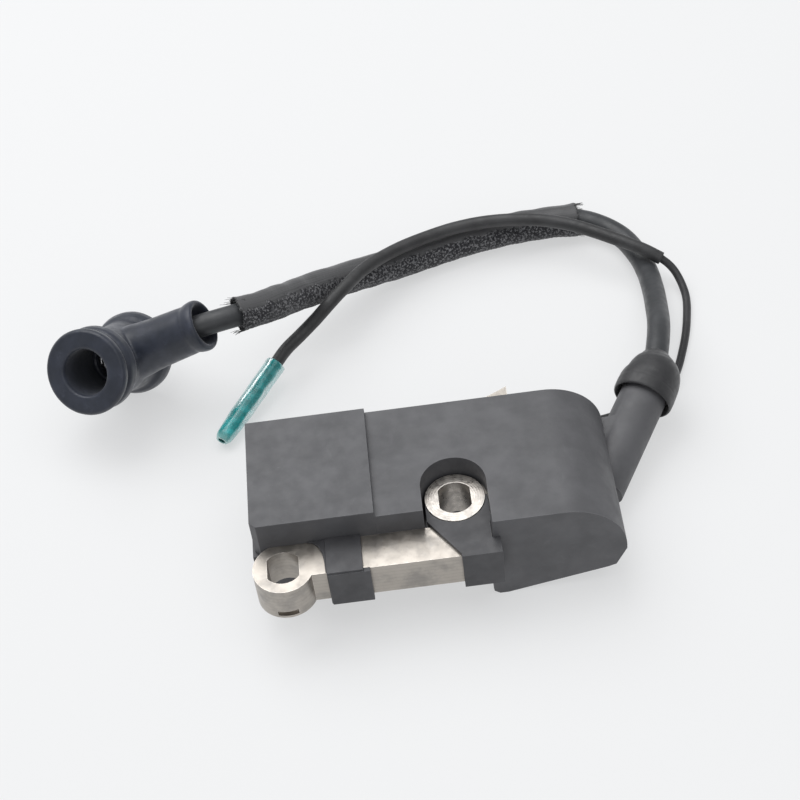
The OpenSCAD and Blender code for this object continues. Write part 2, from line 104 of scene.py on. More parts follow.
class Shader:
    """A new material with its Principled shader, and short calls for the nodes it uses."""

    def __init__(self, name, **constants):
        self.mat = bpy.data.materials.new(name)
        self.mat.use_nodes = True
        self.tree = self.mat.node_tree
        self.bsdf = self.tree.nodes["Principled BSDF"]
        self.coords = self.tree.nodes.new("ShaderNodeTexCoord")
        for socket, value in constants.items():
            self.bsdf.inputs[socket.replace("_", " ")].default_value = value

    def node(self, kind, inputs=None, **settings):
        made = self.tree.nodes.new(kind)
        for key, value in settings.items():
            setattr(made, key, value)
        for socket, value in (inputs or {}).items():
            self.feed(made.inputs[socket], value)
        return made

    def feed(self, socket, value):
        if isinstance(value, bpy.types.NodeSocket):
            self.tree.links.new(value, socket)
        else:
            socket.default_value = value

    def set(self, socket, value):
        self.feed(self.bsdf.inputs[socket], value)

    def place(self, stretch=(1, 1, 1), turn=(0, 0, 0), uv=False):
        """Object or UV coordinates, stretched and turned."""
        source = self.coords.outputs["UV" if uv else "Object"]
        made = self.node("ShaderNodeMapping", {"Vector": source})
        made.inputs["Scale"].default_value = stretch
        made.inputs["Rotation"].default_value = turn
        return made.outputs["Vector"]

    def noise(self, size_mm, detail=3, rough=0.55, vector=None):
        """Noise whose features are about size_mm across."""
        vector = vector or self.coords.outputs["Object"]
        made = self.node("ShaderNodeTexNoise", {
            "Vector": vector, "Scale": 1 / (size_mm * MM), "Detail": detail,
            "Roughness": rough})
        return made.outputs["Fac"]

    def cells(self, size_mm, feature="F1"):
        """Distances within cells about size_mm across."""
        made = self.node("ShaderNodeTexVoronoi", {
            "Vector": self.coords.outputs["Object"], "Scale": 1 / (size_mm * MM)},
            feature=feature)
        return made.outputs["Distance"]

    def waves(self, pitch_mm, distortion=0.0, vector=None, **settings):
        """Even waves pitch_mm apart."""
        vector = vector or self.coords.outputs["Object"]
        made = self.node("ShaderNodeTexWave", {
            "Vector": vector, "Scale": 2 * math.pi / (WAVE_RATE * pitch_mm * MM),
            "Distortion": distortion}, **settings)
        return made.outputs["Fac"]

    def ramp(self, fac, low, high, from_value=0.0, to_value=1.0):
        """Eases from one value to the other as fac goes from low to high."""
        made = self.node("ShaderNodeMapRange", {
            "Value": fac, "From Min": low, "From Max": high,
            "To Min": from_value, "To Max": to_value})
        made.interpolation_type = "SMOOTHSTEP"
        return made.outputs["Result"]

    def math(self, operation, a, b=0.0):
        made = self.node("ShaderNodeMath", {0: a, 1: b}, operation=operation)
        return made.outputs["Value"]

    def mix(self, fac, a, b):
        made = self.node("ShaderNodeMix", data_type="RGBA")
        self.feed(made.inputs["Factor"], fac)
        self.feed(made.inputs["A"], a)
        self.feed(made.inputs["B"], b)
        return made.outputs["Result"]

    def bump(self, height, depth_mm, strength=1.0, normal=None):
        made = self.node("ShaderNodeBump", {
            "Height": height, "Distance": depth_mm * MM, "Strength": strength})
        if normal is not None:
            self.feed(made.inputs["Normal"], normal)
        return made.outputs["Normal"]

    def edges(self, radius_mm):
        """1 within about the radius of an edge, 0 on flat faces."""
        blended = self.node("ShaderNodeBevel", {"Radius": radius_mm * MM}, samples=4)
        plain = self.node("ShaderNodeNewGeometry")
        agreement = self.node("ShaderNodeVectorMath", {
            0: blended.outputs["Normal"], 1: plain.outputs["Normal"]},
            operation="DOT_PRODUCT")
        return self.ramp(agreement.outputs["Value"], 0.995, 0.86)


def rgb(red, green, blue):
    return (red, green, blue, 1)


def paler(colour, gain, lift):
    """The colour with each channel scaled and lifted, for dust and scuffs."""
    return tuple(channel * gain + lift for channel in colour[:3]) + (1,)


# ---------------------------------------------------------------- materials


def moulded_plastic(name, dark, light, rough=0.52, wear=0.35):
    """Filled moulding plastic: fine grain, cloudy colour, pale dusty scuffs and rubbed edges."""
    s = Shader(name, Specular_IOR_Level=0.42)
    clouds = s.ramp(s.noise(7, 4), 0.35, 0.68)
    colour = s.mix(clouds, dark, light)
    smears = s.ramp(s.noise(5, 5, 0.65, s.place((1, 0.35, 1), (0, 0, 0.5))), 0.58, 0.8, 0, 0.22)
    pale = paler(light, 1.7, 0.02)
    colour = s.mix(smears, colour, pale)
    specks = s.ramp(s.noise(0.5, 2, 0.7), 0.7, 0.78, 0, 0.4)
    colour = s.mix(specks, colour, pale)
    rubbed = s.math("MULTIPLY", s.edges(0.35), s.ramp(s.noise(1.6, 4), 0.38, 0.62, 0.1, wear))
    s.set("Base Color", s.mix(rubbed, colour, pale))
    s.set("Roughness", s.ramp(s.noise(3, 4), 0.3, 0.7, rough - 0.07, rough + 0.09))
    soft = s.bump(s.noise(3.2, 2), 0.05, 0.35)
    s.set("Normal", s.bump(s.noise(0.22, 3, 0.6), 0.02, 0.55, soft))
    return s.mat


def epoxy_resin():
    """Poured potting resin: nearly black, glossy, gently dished, with pinholes."""
    s = Shader("potting_epoxy", Specular_IOR_Level=0.5, Coat_Weight=0.3, Coat_Roughness=0.12)
    s.set("Base Color", s.mix(s.noise(6, 3), rgb(0.012, 0.012, 0.015), rgb(0.03, 0.03, 0.034)))
    s.set("Roughness", s.ramp(s.noise(2.4, 3), 0.3, 0.7, 0.16, 0.34))
    pores = s.ramp(s.cells(2.6), 0.0, 0.12)
    ripple = s.bump(s.noise(9, 1), 0.35, 0.6)
    s.set("Normal", s.bump(pores, 0.12, 0.5, ripple))
    return s.mat


def sheet_stack():
    """Bonded stack of sheet steel: satin grey, faint sheet lines on the sides, dull stains."""
    s = Shader("core_sheet_steel", Metallic=0.92)
    stain = s.ramp(s.noise(4.5, 5, 0.62), 0.42, 0.7)
    colour = s.mix(stain, rgb(0.42, 0.388, 0.35), rgb(0.3, 0.282, 0.262))
    freckles = s.ramp(s.noise(0.7, 3, 0.7), 0.62, 0.74, 0, 0.5)
    colour = s.mix(freckles, colour, rgb(0.27, 0.24, 0.21))
    sheets = s.waves(1.0, bands_direction="Z")
    seam = s.ramp(sheets, 0.0, 0.16, 0.16, 0.0)
    colour = s.mix(seam, colour, rgb(0.16, 0.15, 0.14))
    worn = s.math("MULTIPLY", s.edges(0.25), s.ramp(s.noise(1.2, 3), 0.35, 0.6, 0.2, 0.85))
    s.set("Base Color", s.mix(worn, colour, rgb(0.74, 0.70, 0.65)))
    s.set("Roughness", s.ramp(s.noise(1.8, 4), 0.3, 0.72, 0.3, 0.46))
    streaks = s.noise(0.12, 2, 0.6, s.place((1, 1, 6)))
    fine = s.bump(streaks, 0.012, 0.5)
    s.set("Normal", s.bump(sheets, 0.02, 0.25, fine))
    return s.mat


def turned_steel():
    """Faced steel bushing: rings of the facing tool and a bright rubbed rim."""
    s = Shader("faced_steel", Metallic=0.95)
    low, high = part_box("mount_bushing")
    centred = s.node("ShaderNodeMapping", {"Vector": s.coords.outputs["Object"]})
    centred.inputs["Location"].default_value = -(low + high) / 2
    rings = s.waves(0.48, 0.3, centred.outputs["Vector"], wave_type="RINGS",
                    rings_direction="Z")
    colour = s.mix(s.ramp(s.noise(1.7, 4), 0.35, 0.68), rgb(0.50, 0.465, 0.428),
                   rgb(0.38, 0.358, 0.335))
    worn = s.math("MULTIPLY", s.edges(0.3), 0.7)
    s.set("Base Color", s.mix(worn, colour, rgb(0.88, 0.86, 0.82)))
    s.set("Roughness", s.ramp(s.noise(1.1, 3), 0.3, 0.7, 0.24, 0.42))
    s.set("Normal", s.bump(rings, 0.014, 0.45))
    return s.mat


def rubber(name, dark, light, rough, grain_mm=0.3, sheen=0.12, dust=0.3):
    """Moulded or extruded rubber: soft sheen, faint bloom and a little dust."""
    s = Shader(name, Specular_IOR_Level=0.4, Sheen_Weight=sheen, Sheen_Roughness=0.5)
    colour = s.mix(s.ramp(s.noise(5, 4), 0.35, 0.7), dark, light)
    bloom = s.ramp(s.noise(2.4, 5, 0.68), 0.55, 0.8, 0, dust)
    s.set("Base Color", s.mix(bloom, colour, paler(light, 2.2, 0.012)))
    s.set("Roughness", s.ramp(s.noise(1.6, 4), 0.3, 0.7, rough - 0.08, rough + 0.12))
    wavy = s.bump(s.noise(2.6, 2), 0.04, 0.3)
    s.set("Normal", s.bump(s.noise(grain_mm, 3), 0.018, 0.45, wavy))
    return s.mat


def drawn_rubber(name, dark, light, rough):
    """Extruded cable cover, its die lines running along it (u along, v round)."""
    s = Shader(name, Specular_IOR_Level=0.45, Sheen_Weight=0.08, Sheen_Roughness=0.45)
    lines = s.noise(18, 3, 0.6, s.place((0.35, 2.2, 1), uv=True))
    colour = s.mix(s.ramp(s.noise(6, 4), 0.35, 0.7), dark, light)
    dusty = s.ramp(s.noise(1.3, 4, 0.7), 0.6, 0.8, 0, 0.3)
    s.set("Base Color", s.mix(dusty, colour, paler(light, 2, 0.01)))
    s.set("Roughness", s.ramp(s.noise(1.8, 3), 0.3, 0.7, rough - 0.06, rough + 0.1))
    along = s.bump(lines, 0.03, 0.3)
    s.set("Normal", s.bump(s.noise(0.25, 2), 0.012, 0.4, along))
    return s.mat


def varnished_braid():
    """Varnished glass-fibre sleeve: mottled open weave underneath; the smooth top band has a
    painted lengthwise sheen in its colour.
    """
    s = Shader("sleeve_braid", Specular_IOR_Level=0.35, Sheen_Weight=0.25, Sheen_Roughness=0.4)
    split = s.node("ShaderNodeSeparateXYZ", {"Vector": s.coords.outputs["UV"]})
    around = split.outputs["Y"]
    ragged = s.math("ADD", around, s.ramp(s.noise(2.2, 4, 0.65), 0.2, 0.8, -0.045, 0.045))
    # rough_side is 1 on the mottled weave underneath and 0 on the top band, whose colour is a
    # painted sheen
    rough_side = s.math("MULTIPLY", s.ramp(ragged, 0.35, 0.39), s.ramp(ragged, 0.93, 0.885))
    flecks = s.ramp(s.noise(0.5, 3, 0.7), 0.48, 0.6)
    threads = s.ramp(s.cells(0.55), 0.1, 0.5)
    mottled = s.mix(flecks, rgb(0.006, 0.006, 0.008), rgb(0.26, 0.26, 0.268))
    mottled = s.mix(s.math("MULTIPLY", threads, 0.45), mottled, rgb(0.035, 0.035, 0.04))
    # painted sheen: lighter lengthwise streaks painted into the top band's colour
    painted_sheen_streak = s.noise(9, 4, 0.6, s.place((0.3, 3.0, 1), uv=True))
    smooth = s.mix(s.ramp(painted_sheen_streak, 0.35, 0.68), rgb(0.045, 0.045, 0.047), rgb(0.1, 0.1, 0.103))
    s.set("Base Color", s.mix(rough_side, smooth, mottled))
    s.set("Roughness", s.ramp(rough_side, 0.0, 1.0, 0.5, 0.8))
    fuzz = s.math("MULTIPLY", s.noise(0.3, 3, 0.7), rough_side)
    s.set("Normal", s.bump(fuzz, 0.16, 0.7))
    return s.mat


def clear_vinyl():
    """Translucent teal vinyl with cloudy thickness, paler at its tip (u along, in metres)."""
    s = Shader("teal_vinyl", IOR=1.42, Specular_IOR_Level=0.5, Coat_Weight=0.35,
               Coat_Roughness=0.12)
    split = s.node("ShaderNodeSeparateXYZ", {"Vector": s.coords.outputs["UV"]})
    along = split.outputs["X"]
    tip = s.ramp(along, 0.0205, 0.0225, 0, 0.7)
    clouds = s.ramp(s.noise(2.2, 4), 0.35, 0.7)
    colour = s.mix(clouds, rgb(0.02, 0.30, 0.30), rgb(0.05, 0.52, 0.53))
    s.set("Base Color", s.mix(tip, colour, rgb(0.30, 0.55, 0.53)))
    s.set("Transmission Weight", s.ramp(along, 0.012, 0.0225, 0.5, 0.25))
    s.set("Roughness", s.ramp(s.noise(2.5, 2), 0.3, 0.7, 0.2, 0.34))
    s.set("Normal", s.bump(s.noise(3.0, 1), 0.12, 0.4))
    return s.mat


def metal(name, colour, dark, rough):
    """Plated or drawn metal with a cloudy tarnish and fine scratches."""
    s = Shader(name, Metallic=1)
    s.set("Base Color", s.mix(s.ramp(s.noise(1.1, 4, 0.65), 0.4, 0.72), colour, dark))
    s.set("Roughness", s.ramp(s.noise(0.8, 4), 0.3, 0.7, rough - 0.08, rough + 0.12))
    s.set("Normal", s.bump(s.noise(0.1, 2, 0.6, s.place((1, 1, 5))), 0.01, 0.5))
    return s.mat


def enamelled_wire():
    """Side-by-side turns of enamelled copper round a leg, with painted shading: each turn bright
    on its crest and dark in the grooves between turns.
    """
    s = Shader("enamelled_copper", Metallic=0.75, Coat_Weight=0.5, Coat_Roughness=0.1)
    turns = s.waves(0.4, 0.4, bands_direction="Y")
    # painted shading across each turn: bright on the crest, dark in the groove
    painted_turn_shading = s.mix(turns, rgb(0.2, 0.055, 0.02), rgb(0.62, 0.25, 0.1))
    s.set("Base Color", s.mix(s.noise(3, 3), painted_turn_shading, rgb(0.36, 0.13, 0.05)))
    s.set("Roughness", s.ramp(s.noise(0.6, 2), 0.3, 0.7, 0.22, 0.36))
    s.set("Normal", s.bump(turns, 0.08, 0.8))
    return s.mat


def board_laminate():
    """Solder-masked laminate with buried tracks."""
    s = Shader("board_laminate", Coat_Weight=0.4, Coat_Roughness=0.15)
    tracks = s.ramp(s.cells(2.4, "DISTANCE_TO_EDGE"), 0.09, 0.12)
    s.set("Base Color", s.mix(tracks, rgb(0.03, 0.16, 0.06), rgb(0.015, 0.09, 0.035)))
    s.set("Roughness", s.ramp(s.noise(1.2, 3), 0.3, 0.7, 0.3, 0.45))
    s.set("Normal", s.bump(tracks, 0.04, 0.4))
    return s.mat


def component_body(name, dark, light, rough):
    """Small moulded, dipped or lacquered electronic parts."""
    s = Shader(name, Coat_Weight=0.2, Coat_Roughness=0.2)
    s.set("Base Color", s.mix(s.ramp(s.noise(1.4, 4), 0.35, 0.68), dark, light))
    s.set("Roughness", s.ramp(s.noise(0.7, 3), 0.3, 0.7, rough - 0.06, rough + 0.08))
    s.set("Normal", s.bump(s.noise(0.25, 3), 0.02, 0.5))
    return s.mat


CASE = moulded_plastic("case_plastic", rgb(0.080, 0.080, 0.085), rgb(0.098, 0.098, 0.104))
COVER = moulded_plastic("cover_plastic", rgb(0.078, 0.078, 0.083), rgb(0.096, 0.096, 0.102))
STRAP = moulded_plastic("strap_plastic", rgb(0.042, 0.042, 0.046), rgb(0.062, 0.062, 0.067),
                        rough=0.45, wear=0.25)
RESIN = epoxy_resin()
CORE = sheet_stack()
BUSHING = turned_steel()
NYLON = component_body("bobbin_nylon", rgb(0.62, 0.58, 0.46), rgb(0.76, 0.73, 0.62), 0.45)
COPPER = enamelled_wire()
BOARD = board_laminate()
FILM = component_body("capacitor_film", rgb(0.3, 0.04, 0.02), rgb(0.46, 0.08, 0.04), 0.3)
CHIP = component_body("chip_plastic", rgb(0.015, 0.015, 0.016), rgb(0.035, 0.035, 0.037), 0.5)
LACQUER = component_body("resistor_lacquer", rgb(0.5, 0.36, 0.2), rgb(0.66, 0.52, 0.34), 0.35)
TINNED = metal("tinned_steel", rgb(0.62, 0.61, 0.57), rgb(0.4, 0.4, 0.3), 0.32)
BRASS = metal("brass", rgb(0.78, 0.57, 0.24), rgb(0.48, 0.33, 0.13), 0.28)
SPRING = metal("spring_steel", rgb(0.58, 0.58, 0.59), rgb(0.3, 0.29, 0.28), 0.26)
SEAL = rubber("seal_rubber", rgb(0.022, 0.022, 0.024), rgb(0.036, 0.036, 0.038), 0.44)
BOOT = rubber("boot_rubber", rgb(0.018, 0.022, 0.033), rgb(0.030, 0.035, 0.052), 0.4,
              grain_mm=0.35, sheen=0.16, dust=0.35)
LEAD_SKIN = drawn_rubber("lead_rubber", rgb(0.032, 0.034, 0.037), rgb(0.05, 0.052, 0.056), 0.42)
WIRE_SKIN = drawn_rubber("wire_cover", rgb(0.022, 0.022, 0.024), rgb(0.036, 0.036, 0.038), 0.5)
TUBE_SKIN = drawn_rubber("tube_cover", rgb(0.022, 0.022, 0.023), rgb(0.04, 0.04, 0.042), 0.48)
BRAID = varnished_braid()
FIBRE = component_body("frayed_fibre", rgb(0.02, 0.02, 0.022), rgb(0.06, 0.06, 0.062), 0.8)
VINYL = clear_vinyl()

# ---------------------------------------------------------------- mesh helpers


def unit_along(yaw, pitch):
    """The direction at a bearing from +X and a rise from level, in degrees."""
    yaw = math.radians(yaw)
    pitch = math.radians(pitch)
    return Vector((math.cos(pitch) * math.cos(yaw), math.cos(pitch) * math.sin(yaw),
                   math.sin(pitch)))


def smooth_route(points, step):
    """Points about step apart on a Catmull-Rom curve through the given ones."""
    pts = [Vector(p) for p in points]
    pts = [2 * pts[0] - pts[1], *pts, 2 * pts[-1] - pts[-2]]
    fine = []
    for p0, p1, p2, p3 in zip(pts, pts[1:], pts[2:], pts[3:]):
        t1 = math.sqrt((p1 - p0).length)
        t2 = t1 + math.sqrt((p2 - p1).length)
        t3 = t2 + math.sqrt((p3 - p2).length)
        count = max(2, round((p2 - p1).length / step))
        for i in range(count):
            t = t1 + (t2 - t1) * i / count
            a1 = p0.lerp(p1, t / t1)
            a2 = p1.lerp(p2, (t - t1) / (t2 - t1))
            a3 = p2.lerp(p3, (t - t2) / (t3 - t2))
            b1 = a1.lerp(a2, t / t2)
            b2 = a2.lerp(a3, (t - t1) / (t3 - t1))
            fine.append(b1.lerp(b2, (t - t1) / (t2 - t1)))
    fine.append(pts[-2].copy())
    return fine


def frames_along(route):
    """For each point its distance along, place, direction, level side and upward normal."""
    spots = []
    s = 0.0
    up = Vector((0, 0, 1))
    for i, p in enumerate(route):
        after = route[min(i + 1, len(route) - 1)]
        ahead = (after - route[max(i - 1, 0)]).normalized()
        side = ahead.cross(up).normalized()
        spots.append((s, p, ahead, side, side.cross(ahead)))
        s += (after - p).length
    return spots


def mesh_object(name, verts, faces, material, uvs=None):
    data = bpy.data.meshes.new(name)
    data.from_pydata([tuple(v) for v in verts], [], faces)
    if uvs is not None:
        layer = data.uv_layers.new(name="UVMap")
        flat = [c for f in uvs for uv in f for c in uv]
        layer.data.foreach_set("uv", flat)
    data.materials.append(material)
    data.polygons.foreach_set("use_smooth", [True] * len(data.polygons))
    data.update()
    obj = bpy.data.objects.new(name, data)
    scene.collection.objects.link(obj)
    return obj


def shell(name, rings, material, closed=False, uv_rings=None):
    """Skin over rings of points in design millimetres.

    Closed joins the last ring to the first; otherwise both ends get a cap.
    """
    sides = len(rings[0])
    verts = [at(p) for ring in rings for p in ring]
    faces = []
    uvs = []
    count = len(rings)
    for i in range(count if closed else count - 1):
        j = (i + 1) % count
        for k in range(sides):
            m = (k + 1) % sides
            faces.append((i * sides + k, i * sides + m, j * sides + m, j * sides + k))
            if uv_rings is not None:
                u0, u1 = uv_rings[i], uv_rings[j]
                v0, v1 = k / sides, (k + 1) / sides
                uvs.append(((u0, v0), (u0, v1), (u1, v1), (u1, v0)))
    if not closed:
        faces.append(tuple(range(sides - 1, -1, -1)))
        faces.append(tuple((count - 1) * sides + k for k in range(sides)))
        if uv_rings is not None:
            uvs += [((u, 0.0),) * sides for u in (uv_rings[0], uv_rings[-1])]
    return mesh_object(name, verts, faces, material, uvs or None)


def ring_of(spot, radius, sides):
    """Points round a frame; radius is a number or a function of the angle."""
    _, p, _, side, up = spot
    ring = []
    for k in range(sides):
        a = 2 * math.pi * k / sides
        r = radius(a) if callable(radius) else radius
        ring.append(p + r * (math.cos(a) * side + math.sin(a) * up))
    return ring


def rings_along(spots, radius, sides):
    """Rings round the spots; radius is a function of distance and angle."""
    return [ring_of(spot, lambda a, s=spot[0]: radius(s, a), sides) for spot in spots]


def rod(name, route, radius, sides, material):
    """Solid rod along a route; radius is a function of distance and angle."""
    spots = frames_along(route)
    return shell(name, rings_along(spots, radius, sides), material,
                 uv_rings=[spot[0] * MM for spot in spots])


def hollow(name, spots, outer, inner, sides, material):
    """Thin-walled tube through spots; outer and inner are functions of distance and angle."""
    back = spots[::-1]
    rings = rings_along(spots, outer, sides) + rings_along(back, inner, sides)
    return shell(name, rings, material, closed=True,
                 uv_rings=[spot[0] * MM for spot in spots + back])


def dense(profile, step):
    """The same closed outline with points at most step apart."""
    points = []
    for (a0, b0), (a1, b1) in zip(profile, profile[1:] + profile[:1]):
        n = max(1, math.ceil(math.hypot(a1 - a0, b1 - b0) / step))
        points += [(a0 + (a1 - a0) * i / n, b0 + (b1 - b0) * i / n) for i in range(n)]
    return points


def rounded(profile, rounds):
    """The outline with its corners cut back again and again into soft rounds."""
    for _ in range(rounds):
        cut = []
        for (a0, b0), (a1, b1) in zip(profile, profile[1:] + profile[:1]):
            cut.append((a0 * 0.75 + a1 * 0.25, b0 * 0.75 + b1 * 0.25))
            cut.append((a0 * 0.25 + a1 * 0.75, b0 * 0.25 + b1 * 0.75))
        profile = cut
    return profile


SAME_POINT = 2e-6  # metres between CAD vertices that are one point
FLAT_ANGLE = math.radians(0.6)  # neighbouring CAD facets closer than this are one face
SHARP_ANGLE = math.radians(32)  # edges sharper than this are rounded over


def baked(obj):
    """Applies an object's modifiers to its mesh."""
    bpy.context.view_layer.update()
    graph = bpy.context.evaluated_depsgraph_get()
    data = bpy.data.meshes.new_from_object(obj.evaluated_get(graph))
    obj.modifiers.clear()
    old = obj.data
    obj.data = data
    bpy.data.meshes.remove(old)


def softened(node, width_mm, material, segments=2):
    """The module node's own shape with its sharp edges rounded over, in place of the node."""
    data = nodes[node].data.copy()
    data.name = node + "_rounded"
    obj = bpy.data.objects.new(node + "_rounded", data)
    scene.collection.objects.link(obj)
    bm = bmesh.new()
    bm.from_mesh(data)
    bmesh.ops.remove_doubles(bm, verts=bm.verts, dist=SAME_POINT)
    bmesh.ops.dissolve_limit(bm, angle_limit=FLAT_ANGLE, verts=bm.verts, edges=bm.edges)
    bm.to_mesh(data)
    bm.free()
    data.materials.clear()
    data.materials.append(material)
    bevel = obj.modifiers.new("bevel", "BEVEL")
    bevel.width = width_mm * MM
    bevel.segments = segments
    bevel.limit_method = "ANGLE"
    bevel.angle_limit = SHARP_ANGLE
    bevel.use_clamp_overlap = True
    bevel.miter_outer = "MITER_ARC"
    normals = obj.modifiers.new("normals", "WEIGHTED_NORMAL")
    normals.keep_sharp = False
    data.polygons.foreach_set("use_smooth", [True] * len(data.polygons))
    baked(obj)
    done(obj, "module", [node])


SLOT_OF = {row["node"]: row["material_slot"] for row in frame["record"]["subparts"]}


def done(obj, body, replaced=(), slot=None):
    """Rides on its body and stands for the CAD nodes, which it hides."""
    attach(obj, body)
    if replaced:
        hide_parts(*replaced)
        slot = slot or SLOT_OF[replaced[0]]
    return obj


# ---------------------------------------------------------------- cords

TOWER_C = Vector((81.8, 33.2, 9.2))  # the mouth of the seal, on the tower's axis
TOWER_WAY = unit_along(58.5, 10)
NECK_WAY = unit_along(72, 5)
NECK_S = 6  # how far along the tower's axis the seal's neck turns off
BOOT_C = Vector((-29, 61.4, 13))  # where the boot's arm meets its socket axis
BOOT_YAW = -6
BOOT_RISE = 24
BOOT_ROLL = 52
ARM_WAY = unit_along(BOOT_YAW, BOOT_RISE)
TERM_C = Vector((4.9, 61.5, 5))  # the terminal cover's mouth
TERM_WAY = unit_along(235, -6.5)


def tower_at(s):
    """The point s mm along the tower's axis from the seal's mouth."""
    return TOWER_C + s * TOWER_WAY


def neck_at(s):
    """The point s mm along the seal's bent neck."""
    return tower_at(NECK_S) + s * NECK_WAY


def arm_at(s):
    """The point s mm along the boot's arm from the socket axis."""
    return BOOT_C + s * ARM_WAY


def term_at(s):
    """The point s mm along the terminal cover from its mouth."""
    return TERM_C + s * TERM_WAY


# routes through the same points as in the CAD, in its design axes
LEAD = [tower_at(-4), tower_at(2), neck_at(0), neck_at(7.5),
        (89, 53.5, 10), (90, 62, 7.4), (90.6, 70, 5.1), (90.6, 77.5, 3.4), (89.6, 84, 2.7),
        (86.9, 90.1, 3.1), (82.5, 94.4, 3.7), (77, 96.9, 4.3), (68.5, 97.2, 4.1),
        (59, 96.4, 4.1), (49.5, 94.6, 4.1), (42, 92.3, 4.2), (34, 89.1, 5), (25, 84.5, 7.3),
        (16.1, 78, 11.1), (9.1, 71, 15.5), (4.2, 65.8, 18.7), (-0.9, 62.2, 21),
        arm_at(21), arm_at(7)]
BRAID_ENDS = (11, 21)  # the lead's points between which the sleeve lies
WIRE = [(66, 26.1, 6.5), (66, 30, 6.5), (67, 32.8, 5), (70, 35, 2.6), (74.5, 36.6, 1.2),
        (81, 38.6, 1), (87, 41.6, 1), (91, 46, 1), (94.6, 54.5, 1), (97, 63, 1),
        (98.1, 71.2, 1.4), (96.5, 76.4, 3.9), (93.9, 78.1, 6.3), (90.1, 79.9, 8.1),
        (81.1, 86.1, 9), (75, 89.8, 9.4), (67.5, 92.4, 9.9),
        (59, 93.8, 9.9), (50, 93.4, 9.9), (41, 90.8, 10.1), (33.4, 86.7, 10.9),
        (27.1, 81.4, 11.9), (22.3, 75.8, 12.3), (18.45, 72.3, 11.2), (14.8, 70.6, 8.4),
        (10.9, 68.3, 6.3), term_at(-4.5), term_at(2), term_at(3)]
TUBE_ENDS = (12, 27)  # the wire's points between which the tube lies

LEAD_R = 2.5
BRAID_R = 4.0
WIRE_R = 0.9
TUBE_R = 1.5
WALL = 0.42  # of the sleeve and the tube


def part_of(points, ends):
    """The run of points from one end to the other, both included."""
    first, last = ends
    return [Vector(p) for p in points[first:last + 1]]


def rubber_lead():
    route = smooth_route(LEAD, step=0.7)
    piece = rod("ht_lead_skin", route, lambda s, a: LEAD_R, 40, LEAD_SKIN)
    return done(piece, "module", ["ht_lead"]), route


def sleeve_spots():
    """Frames along the stretch of the lead that the sleeve covers."""
    return frames_along(smooth_route(part_of(LEAD, BRAID_ENDS), step=0.3))


def braided_sleeve():
    """Two sets of strands crossing over and under, worn smooth on top; the wall is thin."""
    spots = sleeve_spots()
    total = spots[-1][0]
    pitch = 15.0
    strands = 14
    sides = 112
    cut_reach = 4  # how far from each end the cut's slant pulls the braid along
    viewer_side = 2.36  # radians round the sleeve
    rng = random.Random(5)
    ragged = [rng.uniform(-0.35, 0.35) for _ in range(sides)]

    def weave(s, a):
        one = math.sin(strands * a + 2 * math.pi * strands * s / pitch)
        two = math.sin(strands * a - 2 * math.pi * strands * s / pitch)
        return max(one, two) - 0.35

    def outer(s, a):
        lower = 0.5 - 0.5 * math.sin(a - 0.5)  # 0 on the worn top, 1 in front and below
        rough = 0.02 + 0.13 * min(1, max(0, (lower - 0.42) / 0.2))
        cloth = 0.22 * noise.noise(Vector((s * 0.28, math.cos(a) * 1.3, math.sin(a) * 1.3)))
        flare = 0.3 * math.exp(-s / 1.6) + 0.25 * math.exp(-(total - s) / 1.2)
        flat = -0.28 * max(0, -math.sin(a)) ** 3
        return BRAID_R - 0.32 + rough * weave(s, a) + cloth + flare + flat

    piece = hollow("ht_lead_braid", spots, outer, lambda s, a: outer(s, a) - WALL, sides,
                   BRAID)
    # the cut ends are uneven and slant towards the viewer's side
    rings = spots + spots[::-1]
    for index, vertex in enumerate(piece.data.vertices):
        ring, k = divmod(index, sides)
        s, _, ahead, _, _ = rings[ring]
        a = 2 * math.pi * k / sides
        for near, way, slant in ((s, -1, 0.5), (total - s, 1, 1.3)):
            if near < cut_reach:
                lean = slant * math.cos(a - viewer_side) * (1 - near / cut_reach)
                lean += ragged[k] if near < 0.15 else 0
                vertex.co += ahead * way * lean * MM
    return done(piece, "module", ["ht_lead_sleeve"])


def frayed_ends():
    """Loose fibre ends that stick out of the sleeve's two cuts."""
    rng = random.Random(11)
    spots = sleeve_spots()
    rooted = 1.2  # how far back inside the cut a fibre starts
    sides = 5
    verts = []
    faces = []
    for spot, way in ((spots[0], -1), (spots[-1], 1)):
        _, centre, ahead, side, up = spot
        for _ in range(46):
            a = rng.uniform(0, 2 * math.pi)
            outward = math.cos(a) * side + math.sin(a) * up
            edge = centre + outward * (BRAID_R - rng.uniform(0.25, 0.5))
            reach = rng.uniform(0.9, 2.3)
            lean = outward * rng.uniform(-0.1, 0.45) + side * rng.uniform(-0.3, 0.3)
            drop = Vector((0, 0, -rng.uniform(0, 0.25)))
            path = [edge - ahead * way * rooted, edge + lean * 0.2,
                    edge + ahead * way * reach * 0.6 + lean * 0.6,
                    edge + ahead * way * reach + lean + drop]
            places = frames_along(smooth_route(path, step=0.4))
            base = len(verts)
            last = len(places) - 1
            for i, place in enumerate(places):
                thick = 0.075 * (1 - 0.6 * i / last)
                verts += [at(p) for p in ring_of(place, thick, sides)]
            for i in range(last):
                here = base + i * sides
                for k in range(sides):
                    m = (k + 1) % sides
                    faces.append((here + k, here + m, here + sides + m, here + sides + k))
            faces.append(tuple(base + k for k in reversed(range(sides))))
            faces.append(tuple(base + last * sides + k for k in range(sides)))
    piece = mesh_object("braid_frayed_ends", verts, faces, FIBRE)
    return done(piece, "module", slot="braid")


def stop_wire():
    route = smooth_route(WIRE, step=0.6)
    piece = rod("stop_wire_cover", route, lambda s, a: WIRE_R, 20, WIRE_SKIN)
    return done(piece, "module", ["kill_wire"]), route


